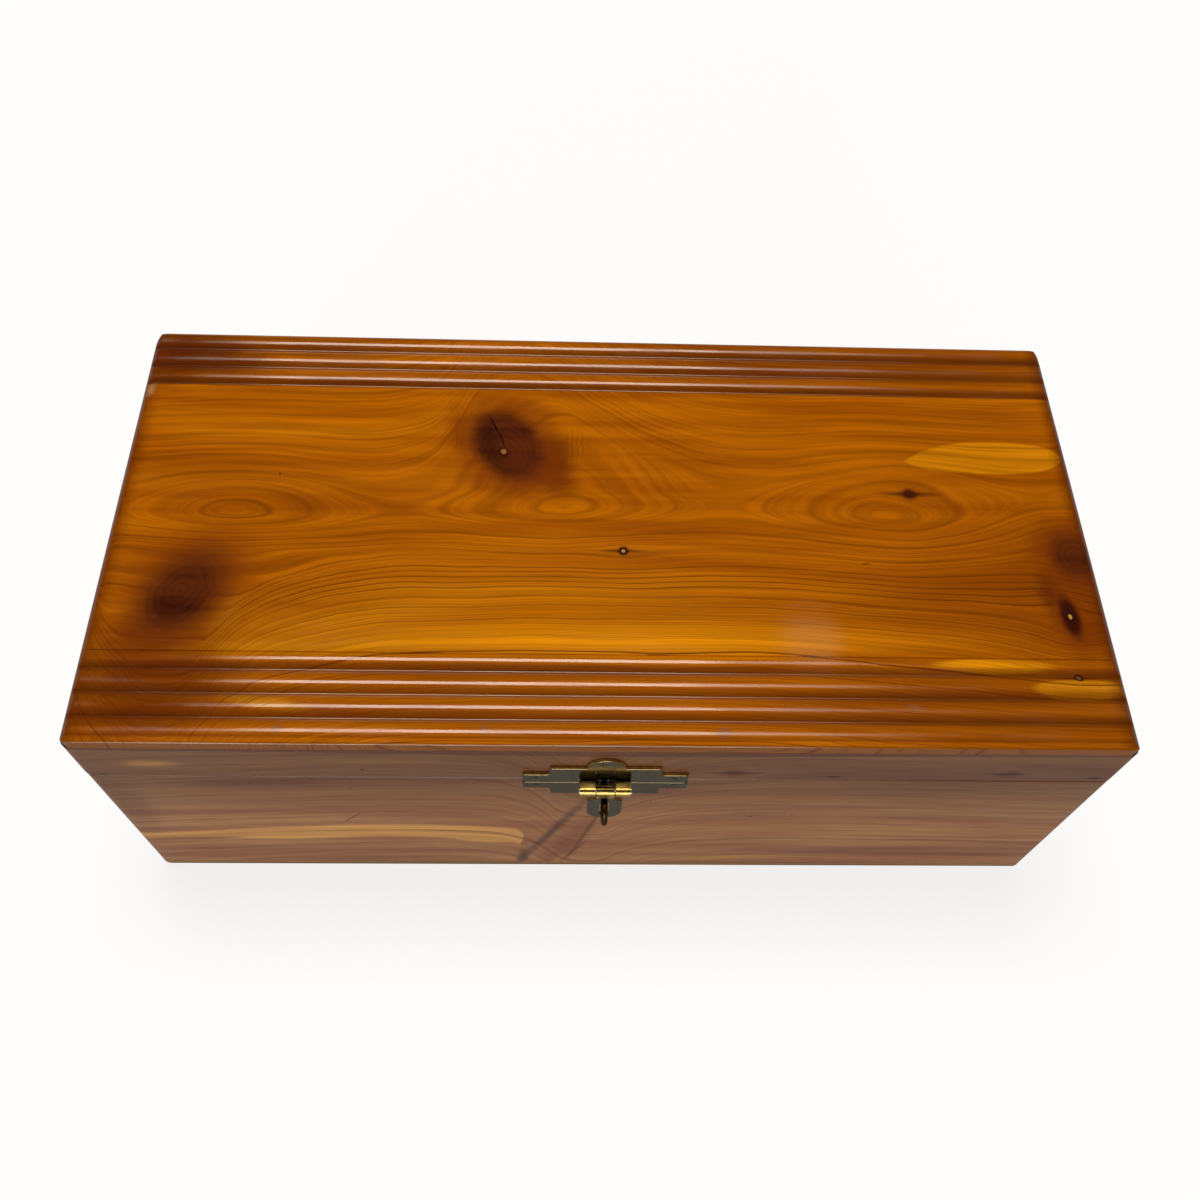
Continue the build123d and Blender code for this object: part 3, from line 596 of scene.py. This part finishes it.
        # painted shade on the reeds' forward slopes, with some stain and old wax, lies dark in the valleys
        # between the reeds, a little behind their lowest line
        valley_shade_and_stain = add(tree, MATH, {0: across, 1: first + SHADE_AND_STAIN_SHIFT}, operation="SUBTRACT")
        valley_shade_and_stain = add(tree, MATH, {0: valley_shade_and_stain, 1: REED_PITCH / 2}, operation="PINGPONG")
        valley_shade_and_stain = add(
            tree, RANGE, {"Value": valley_shade_and_stain, 1: 2.9, 2: 0.4, 3: 0.0, 4: 0.62}, interpolation_type="SMOOTHSTEP",
        )
        within = add(tree, RANGE, {"Value": across, 1: start, 2: start + math.copysign(SHORE_BLEND, end)})
        reeded = within if reeded is None else add(tree, MATH, {0: reeded, 1: within}, operation="MAXIMUM")
        shore = add(tree, MATH, {0: across}, operation="ABSOLUTE")
        shore = add(tree, RANGE, {"Value": shore, 1: REED_OUTER_VALLEY + SHORE_BLEND, 2: REED_OUTER_VALLEY})
        valley_shade_and_stain = add(tree, MATH, {0: valley_shade_and_stain, 1: shore}, operation="MULTIPLY")
        valley_shade_and_stain = add(tree, MATH, {0: valley_shade_and_stain, 1: within}, operation="MULTIPLY")
        lined = add(tree, MIX, {0: valley_shade_and_stain, 6: lined, 7: paint("#5A2606")}, data_type="RGBA").outputs[2]

    gloss = add(tree, RANGE, {"Value": slow, 1: 0.3, 2: 0.7, 3: rough[0], 4: rough[1]})
    if reeded:
        # hands have dulled the reeds a little
        worn_place = add(tree, VECTOR, {0: shifted, 1: (1 / 24, 1 / 5, 1 / 5)}, operation="MULTIPLY")
        worn = add(tree, NOISE, {"Vector": worn_place, "Scale": 1.0, "Detail": 2.0})
        worn = add(tree, RANGE, {"Value": worn, 1: 0.38, 2: 0.66, 3: 0.0, 4: 0.13})
        gloss = add(tree, MATH, {0: reeded, 1: worn, 2: gloss}, operation="MULTIPLY_ADD")

    # the inside is bare planed cedar: paler, pinker and quite matt
    within = within_walls(tree, place, (-LEFT_FACE, BACK_FACE), above)
    pale = add(
        tree, MIX, {0: band_amount, 6: paint(bare[0]), 7: paint(bare[1])}, data_type="RGBA"
    ).outputs[2]
    fainter = add(tree, MATH, {0: late_line, 1: 0.6}, operation="MULTIPLY")
    pale = add(tree, MIX, {0: fainter, 6: pale, 7: paint(bare[2])}, data_type="RGBA").outputs[2]
    lined = add(tree, MIX, {0: within, 6: lined, 7: pale}, data_type="RGBA").outputs[2]
    gloss = add(tree, MIX, {0: within, 2: gloss, 3: BARE_ROUGHNESS})

    # brush varnish pulls into a faint orange peel, 1.8 mm across, and into runs 3 mm wide along the grain
    peel_place = add(tree, VECTOR, {0: space, 1: (1 / 5.0, 1 / 1.8, 1 / 1.8)}, operation="MULTIPLY")
    peel = add(tree, NOISE, {"Vector": peel_place, "Scale": 1.0, "Detail": 2.0, "Roughness": 0.5})
    bump = add(tree, "ShaderNodeBump", {"Height": peel, "Strength": 0.2, "Distance": 0.00006})
    runs_place = add(tree, VECTOR, {0: space, 1: (1 / 22.0, 1 / 3.0, 1 / 3.0)}, operation="MULTIPLY")
    runs = add(tree, NOISE, {"Vector": runs_place, "Scale": 1.0, "Detail": 1.0})
    bump = add(
        tree, "ShaderNodeBump",
        {"Height": runs, "Strength": 0.5, "Distance": 0.00012, "Normal": bump.outputs[0]},
    )
    tree.links.new(bump.outputs["Normal"], shader.inputs["Normal"])
    tree.links.new(lined, shader.inputs["Base Color"])
    tree.links.new(gloss.outputs[0], shader.inputs["Roughness"])
    shader.inputs["IOR"].default_value = VARNISH_IOR
    shader.inputs["Specular IOR Level"].default_value = level
    return material


def plywood():
    """Three-ply sheet, sanded and left bare: a pale face grain over a darker middle ply."""
    material, tree, shader = new_material("plywood_sanded")
    place = add(tree, "ShaderNodeTexCoord")
    grain = add(tree, VECTOR, {0: place.outputs["Object"], 1: (12.0, 260.0, 260.0)}, operation="MULTIPLY")
    grain = add(tree, NOISE, {"Vector": grain, "Scale": 1.0, "Detail": 4.0, "Roughness": 0.6})
    amount = add(tree, RANGE, {"Value": grain, 1: 0.35, 2: 0.65})
    face = add(tree, MIX, {0: amount, 6: paint("#B08C66"), 7: paint("#94704E")}, data_type="RGBA").outputs[2]
    level = add(tree, "ShaderNodeSeparateXYZ", {0: place.outputs["Object"]}).outputs["Z"]
    middle = add(tree, MATH, {0: level, 1: 1.6 * MM}, operation="SUBTRACT")
    middle = add(tree, MATH, {0: middle}, operation="ABSOLUTE")
    core = add(tree, RANGE, {"Value": middle, 1: 0.6 * MM, 2: 0.45 * MM})
    ply = add(tree, MIX, {0: core, 6: face, 7: paint("#7E5C40")}, data_type="RGBA").outputs[2]
    tree.links.new(ply, shader.inputs["Base Color"])
    shader.inputs["Roughness"].default_value = 0.6
    bump = add(tree, "ShaderNodeBump", {"Height": grain, "Strength": 0.3, "Distance": 0.00005})
    tree.links.new(bump.outputs["Normal"], shader.inputs["Normal"])
    return material


def plain_metal(name, colour, stain, roughness, spot_mm):
    """A rolled or cast metal part with a worn, uneven patina."""
    material, tree, shader = new_material(name)
    place = add(tree, "ShaderNodeTexCoord")
    blotch = add(tree, NOISE, {"Vector": place.outputs["Object"], "Scale": 1 / (spot_mm * MM), "Detail": 4.0})
    amount = add(tree, RANGE, {"Value": blotch, 1: 0.35, 2: 0.7})
    mixed = add(tree, MIX, {0: amount, 6: paint(colour), 7: paint(stain)}, data_type="RGBA").outputs[2]
    tree.links.new(mixed, shader.inputs["Base Color"])
    sheen = add(tree, RANGE, {"Value": blotch, 1: 0.3, 2: 0.7, 3: roughness, 4: roughness + 0.15})
    tree.links.new(sheen.outputs[0], shader.inputs["Roughness"])
    shader.inputs["Metallic"].default_value = 1.0
    return material


def hasp_brass(name, settings, face, knuckle_level=1.0):
    """Pressed brass under aged lacquer: grey-green flat faces, and bright rough brass on edges and knuckles.

    All that lies above the knuckle level is bright, and the default level is above the whole box.
    """
    material, tree, shader = new_material(name)
    place = add(tree, "ShaderNodeTexCoord").outputs["Object"]
    split = add(tree, "ShaderNodeSeparateXYZ", {0: place})
    spots = add(tree, NOISE, {"Vector": place, "Scale": 1 / (2.2 * MM), "Detail": 3.0})
    # the faces' cut edges, from 0.12 mm back from the face, and the rolled knuckles in front of it
    inward = add(tree, MATH, {0: split.outputs["Y"], 1: face}, operation="SUBTRACT")
    inward = add(tree, MATH, {0: spots, 1: 0.08 * MM, 2: inward}, operation="MULTIPLY_ADD")
    edge = add(tree, RANGE, {"Value": inward, 1: 0.12 * MM, 2: 0.2 * MM})
    # the two edges that meet at the seam are out of reach and stay dull
    seam = add(tree, MATH, {0: split.outputs["Z"], 1: SEAM}, operation="SUBTRACT")
    seam = add(tree, MATH, {0: seam}, operation="ABSOLUTE")
    seam = add(tree, RANGE, {"Value": seam, 1: 0.9 * MM, 2: 1.5 * MM, 3: 0.05, 4: 1.0})
    edge = add(tree, MATH, {0: edge, 1: seam}, operation="MULTIPLY")
    rolled = add(tree, RANGE, {"Value": inward, 1: -0.2 * MM, 2: -0.35 * MM})
    high = add(tree, MATH, {0: split.outputs["Z"], 1: knuckle_level}, operation="GREATER_THAN")
    rolled = add(tree, MATH, {0: rolled, 1: high}, operation="MAXIMUM")
    worn = add(tree, MATH, {0: edge, 1: rolled}, operation="MAXIMUM")
    stained = add(tree, RANGE, {"Value": spots, 1: 0.35, 2: 0.7})
    aged, aged_dark, bright, bright_dark = (
        paint(c) for c in (settings.aged, settings.aged_dark, settings.worn, settings.worn_dark)
    )
    aged = add(tree, MIX, {0: stained, 6: aged, 7: aged_dark}, data_type="RGBA")
    bright = add(tree, MIX, {0: stained, 6: bright, 7: bright_dark}, data_type="RGBA")
    seen = add(tree, MIX, {0: worn, 6: aged.outputs[2], 7: bright.outputs[2]}, data_type="RGBA").outputs[2]
    root = add(tree, RANGE, {"Value": inward, 1: 0.95 * MM, 2: 1.1 * MM, 4: 0.8})
    seen = add(tree, MIX, {0: root, 6: seen, 7: paint("#241A10")}, data_type="RGBA").outputs[2]
    tree.links.new(seen, shader.inputs["Base Color"])
    sheen = add(tree, RANGE, {"Value": edge, 3: 0.16, 4: 0.5})
    sheen = add(tree, MIX, {0: rolled, 2: sheen, 3: 0.3})
    tree.links.new(sheen.outputs[0], shader.inputs["Roughness"])
    shader.inputs["Metallic"].default_value = 1.0
    bump = add(tree, "ShaderNodeBump", {"Height": spots, "Strength": 0.3, "Distance": 0.00004})
    tree.links.new(bump.outputs["Normal"], shader.inputs["Normal"])
    return material


def swatch(name, description, code):
    """A colour that a user can change, given as a hex default."""
    return bpy.props.FloatVectorProperty(
        name=name, description=description, subtype="COLOR", min=0, max=1, default=linear(code),
    )


class KeepsakeCedar(bpy.types.PropertyGroup):
    """Colours and sizes of the box's cedar."""

    lid_amber: swatch("Lid amber", "Earlywood of the lid under varnish", "#C87204")
    lid_brown: swatch("Lid brown", "Darker bands of the lid under varnish", "#A65602")
    lid_line: swatch("Lid lines", "Latewood lines of the lid", "#5A2402")
    lid_knot: swatch("Lid knots", "Dark wood of the lid's knots", "#3A140A")
    wall_pale: swatch("Wall pale", "Earlywood of the box's walls and the lid's rails", "#BC8C62")
    wall_brown: swatch("Wall brown", "Darker bands of the walls", "#A46E4E")
    wall_line: swatch("Wall lines", "Latewood lines of the walls", "#5A3020")
    wall_knot: swatch("Wall knots", "Dark wood of the walls' knots", "#3A2020")
    bare_pale: swatch("Bare pale", "Unvarnished wood inside", "#D9A777")
    bare_pink: swatch("Bare pink", "Pinker bands of the wood inside", "#C98C62")
    bare_line: swatch("Bare lines", "Latewood lines inside", "#96553A")
    lid_year: bpy.props.FloatProperty(
        name="Lid year ring", description="Width of one year's growth in the lid", unit="LENGTH", precision=5,
        default=LID_FIGURE.ring * MM,
    )
    gloss: bpy.props.FloatProperty(
        name="Varnish roughness", description="Roughness of the lid's varnish", min=0.02, max=1, default=0.08,
    )


class KeepsakeMetal(bpy.types.PropertyGroup):
    """Colours of the hasp, the hinges and the fastenings."""

    aged: swatch("Aged lacquer", "Flat faces of the hasp", "#78735F")
    aged_dark: swatch("Aged lacquer spots", "Darker spots on the hasp's faces", "#645F4E")
    worn: swatch("Worn brass", "Edges and knuckles of the hasp", "#E8C878")
    worn_dark: swatch("Worn brass spots", "Darker spots on edges and knuckles", "#B08C40")
    hinge: swatch("Hinge brass", "Butt hinges and their screws", "#C9A55C")
    hinge_dark: swatch("Hinge brass spots", "Tarnish on the hinges", "#9A7838")
    staple: swatch("Bronzed wire", "The staple's wire", "#5A452A")
    steel: swatch("Steel", "Pins and nails", "#A8A8AC")


class KeepsakeStage(bpy.types.PropertyGroup):
    """Where the camera and lamps stand."""

    camera_place: bpy.props.FloatVectorProperty(
        name="Camera place", description="Where the camera stands", subtype="TRANSLATION", unit="LENGTH",
        default=(-0.01488, -0.20817, 0.41079), precision=5,
    )
    camera_turn: bpy.props.FloatVectorProperty(
        name="Camera turn", description="Tilt, roll and heading of the camera", subtype="EULER",
        unit="ROTATION",
        default=(math.radians(30.579), math.radians(-2.136), math.radians(-0.469)),
    )
    lens: bpy.props.FloatProperty(
        name="Lens", description="Focal length on a 36 mm sensor", unit="CAMERA", default=35.14,
    )


class KEEPSAKE_OT_stage(bpy.types.Operator):
    """Build the pale floor, the lamps and the camera"""

    bl_idname = "keepsake.stage"
    bl_label = "Stage"

    def execute(self, context):
        scene = context.scene
        stage = scene.keepsake_stage
        scene.view_settings.view_transform = "Standard"

        camera = bpy.data.objects.new("camera", bpy.data.cameras.new("camera"))
        camera.data.sensor_width = 36
        camera.data.lens = stage.lens
        camera.data.clip_start = 0.02
        camera.location = stage.camera_place
        camera.rotation_euler = Euler(stage.camera_turn)
        scene.collection.objects.link(camera)
        scene.camera = camera

        mesh = bpy.data.meshes.new("floor")
        reach = 6.0
        corners = [(-reach, -reach, 0), (reach, -reach, 0), (reach, reach, 0), (-reach, reach, 0)]
        mesh.from_pydata(corners, [], [(0, 1, 2, 3)])
        floor = bpy.data.objects.new("floor", mesh)
        scene.collection.objects.link(floor)
        material = bpy.data.materials.new("painted_white_board")
        material.use_nodes = True
        tree = material.node_tree
        tree.nodes.clear()
        path = add(tree, "ShaderNodeLightPath")
        seen = add(tree, MATH, {0: path.outputs["Is Camera Ray"], 1: 0.12}, operation="MAXIMUM")
        glow = add(tree, MATH, {0: seen, 1: 0.8}, operation="MULTIPLY")
        white = add(tree, "ShaderNodeEmission", {"Color": (1, 1, 1, 1), "Strength": glow})
        board = add(tree, "ShaderNodeBsdfDiffuse", {"Color": (0.22, 0.22, 0.22, 1)})
        both = add(tree, "ShaderNodeAddShader", {0: white, 1: board})
        add(tree, "ShaderNodeOutputMaterial", {"Surface": both})
        mesh.materials.append(material)

        # a pale wall round the horizon and a dark ceiling, which a flat top mirrors
        world = bpy.data.worlds.new("studio")
        scene.world = world
        world.use_nodes = True
        tree = world.node_tree
        tree.nodes.clear()
        path = add(tree, "ShaderNodeLightPath")
        mirrored = add(
            tree, MATH, {0: path.outputs["Is Glossy Ray"], 1: path.outputs["Is Transmission Ray"]},
            operation="MAXIMUM",
        )
        place = add(tree, "ShaderNodeTexCoord")
        split = add(tree, "ShaderNodeSeparateXYZ", {0: place.outputs["Generated"]})
        near = add(tree, RANGE, {"Value": split.outputs["Y"], 1: 0.3, 2: -0.3, 3: 0.06, 4: 0.3})
        wall = add(
            tree, RANGE, {"Value": split.outputs["Z"], 1: 0.3, 2: 0.05}, interpolation_type="SMOOTHSTEP",
        )
        wall = add(tree, MATH, {0: wall, 1: near}, operation="MULTIPLY")
        wall = add(tree, MATH, {0: wall, 1: mirrored}, operation="MULTIPLY")
        wall = add(tree, MATH, {0: wall, 1: path.outputs["Is Camera Ray"]}, operation="MAXIMUM")
        seen = add(tree, MATH, {0: mirrored, 1: path.outputs["Is Camera Ray"]}, operation="MAXIMUM")
        shown = add(tree, "ShaderNodeBackground", {"Color": (1, 1, 1, 1), "Strength": wall})
        fill = add(tree, "ShaderNodeBackground", {"Color": (1, 1, 1, 1), "Strength": 0.2})
        both = add(tree, "ShaderNodeMixShader", {0: seen, 1: fill, 2: shown})
        add(tree, "ShaderNodeOutputWorld", {"Surface": both})

        # ceiling panels a little behind the box, whose reflection runs along the reeds, and a low front one
        for name, at, size, tilt, watts in (
            ("ceiling_panel", (-0.16, 0.47, 2.3), (1.0, 0.8), 0.0, 23.5),
            ("ceiling_edge", (-0.03, 0.47, 2.32), (1.4, 0.8), 0.0, 14.0),
            ("front_panel", (-0.2, -1.7, 0.46), (1.2, 0.5), 78.0, 15.5),
        ):
            lamp = bpy.data.lights.new(name, "AREA")
            lamp.shape = "RECTANGLE"
            lamp.size, lamp.size_y = size
            lamp.energy = watts
            lamp.color = (1.0, 0.92, 0.8)
            stand = bpy.data.objects.new(name, lamp)
            stand.location = at
            stand.rotation_euler = (math.radians(tilt), 0, 0)
            scene.collection.objects.link(stand)
        return {"FINISHED"}


class KEEPSAKE_OT_lid(bpy.types.Operator):
    """Finish the lid's top board in varnished cedar"""

    bl_idname = "keepsake.lid"
    bl_label = "Lid top"

    def execute(self, context):
        wood = context.scene.keepsake_cedar
        LID_FIGURE.ring = wood.lid_year / MM
        varnished = cedar(
            "cedar_brush_varnished", LID_FIGURE, (wood.lid_amber, wood.lid_brown), wood.lid_line,
            wood.lid_knot, (wood.gloss - 0.01, wood.gloss + 0.04),
            bare=(wood.bare_pale, wood.bare_pink, wood.bare_line),
            above=LID_UNDERSIDE + 0.4 * MM,
        )
        finish_nodes(varnished, "lid_top")
        return {"FINISHED"}


class KEEPSAKE_OT_walls(bpy.types.Operator):
    """Finish the box's boards, its bottom and the lid's rails"""

    bl_idname = "keepsake.walls"
    bl_label = "Walls and bottom"

    def execute(self, context):
        wood = context.scene.keepsake_cedar
        colours = (wood.wall_pale, wood.wall_brown), wood.wall_line, wood.wall_knot, (0.2, 0.28)
        bare = (wood.bare_pale, wood.bare_pink, wood.bare_line)
        front = cedar("cedar_front_varnished", FRONT_FIGURE, *colours, bare=bare, level=0.3)
        finish_nodes(front, "box_front", "lid_front_rail")
        for name, axes, face, seed, nodes in (
            ("cedar_back_varnished", "XZY", BACK_FACE, 3.0, ("box_back", "lid_back_rail")),
            ("cedar_left_varnished", "YZX", LEFT_FACE, 5.0, ("box_left", "lid_left_rail")),
            ("cedar_right_varnished", "YZX", RIGHT_FACE, 8.0, ("box_right", "lid_right_rail")),
        ):
            figure = Figure(
                axes=axes, flip=(1, 1, -1 if face > 0 else 1), face=face / MM, pith=20.0 + seed * 4.0,
                loop_at=seed * 14.0 - 60.0, loop_pitch=150.0 + seed * 8.0, pith_depth=4.0, pith_swing=11.0,
                ring=2.8, back_ring=0.8, contrast=0.7, seed=seed,
            )
            finish_nodes(cedar(name, figure, *colours, bare=bare, level=0.3), *nodes)
        finish_nodes(plywood(), "box_bottom")
        return {"FINISHED"}


class KEEPSAKE_OT_hasp(bpy.types.Operator):
    """Finish the hasp's plates, tongue, pins and staple"""

    bl_idname = "keepsake.hasp"
    bl_label = "Hasp"

    def execute(self, context):
        metal = context.scene.keepsake_metal
        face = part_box("clasp_lower_plate")[0].y
        plates = hasp_brass("brass_aged_lacquer", metal, face)
        finish_nodes(plates, "clasp_upper_plate", "clasp_lower_plate")
        lowest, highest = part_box("clasp_tongue")
        tongue = hasp_brass("brass_aged_lacquer_tongue", metal, lowest.y, highest.z - 3.5 * MM)
        finish_nodes(tongue, "clasp_tongue")
        studs = plain_metal("brass_aged_pins", metal.aged, metal.aged_dark, 0.2, 3.0)
        finish_nodes(studs, "clasp_upper_pins", "clasp_lower_pins")
        finish_nodes(plain_metal("bronzed_wire", metal.staple, "#2E2414", 0.3, 2.0), "clasp_staple")
        finish_nodes(plain_metal("steel_pin_drawn", metal.steel, "#808084", 0.3, 2.0), "clasp_hinge_pin")
        return {"FINISHED"}


class KEEPSAKE_OT_hinges(bpy.types.Operator):
    """Finish the hinges, their pins and screws, and the bottom's nails"""

    bl_idname = "keepsake.hinges"
    bl_label = "Hinges and nails"

    def execute(self, context):
        metal = context.scene.keepsake_metal
        bright = plain_metal("brass_polished", metal.hinge, metal.hinge_dark, 0.22, 4.0)
        finish_nodes(
            bright, "hinge_left_box_leaf", "hinge_right_box_leaf", "hinge_left_lid_leaf",
            "hinge_right_lid_leaf", "hinge_box_screws", "hinge_lid_screws",
        )
        steel = plain_metal("steel_wire_drawn", metal.steel, "#808084", 0.3, 2.0)
        finish_nodes(steel, "hinge_left_pin", "hinge_right_pin", "bottom_nails")
        return {"FINISHED"}


OPERATORS = (KEEPSAKE_OT_stage, KEEPSAKE_OT_lid, KEEPSAKE_OT_walls, KEEPSAKE_OT_hasp, KEEPSAKE_OT_hinges)


class KEEPSAKE_PT_panel(bpy.types.Panel):
    """The box's pieces, in the order in which they are made"""

    bl_idname = "KEEPSAKE_PT_panel"
    bl_label = "Keepsake box"
    bl_space_type = "VIEW_3D"
    bl_region_type = "UI"
    bl_category = "Keepsake box"

    def draw(self, context):
        for operator in OPERATORS:
            self.layout.operator(operator.bl_idname)


CLASSES = (KeepsakeCedar, KeepsakeMetal, KeepsakeStage, *OPERATORS, KEEPSAKE_PT_panel)


def register():
    """Registers the classes and hangs the settings on the scene."""
    for item in CLASSES:
        bpy.utils.register_class(item)
    bpy.types.Scene.keepsake_cedar = bpy.props.PointerProperty(type=KeepsakeCedar)
    bpy.types.Scene.keepsake_metal = bpy.props.PointerProperty(type=KeepsakeMetal)
    bpy.types.Scene.keepsake_stage = bpy.props.PointerProperty(type=KeepsakeStage)


def unregister():
    """Takes the settings and classes away again."""
    del bpy.types.Scene.keepsake_stage
    del bpy.types.Scene.keepsake_metal
    del bpy.types.Scene.keepsake_cedar
    for item in reversed(CLASSES):
        bpy.utils.unregister_class(item)


def main():
    """Makes every piece in order."""
    register()
    bpy.ops.keepsake.stage()
    bpy.ops.keepsake.lid()
    bpy.ops.keepsake.walls()
    bpy.ops.keepsake.hasp()
    bpy.ops.keepsake.hinges()


if __name__ == "__main__":
    main()
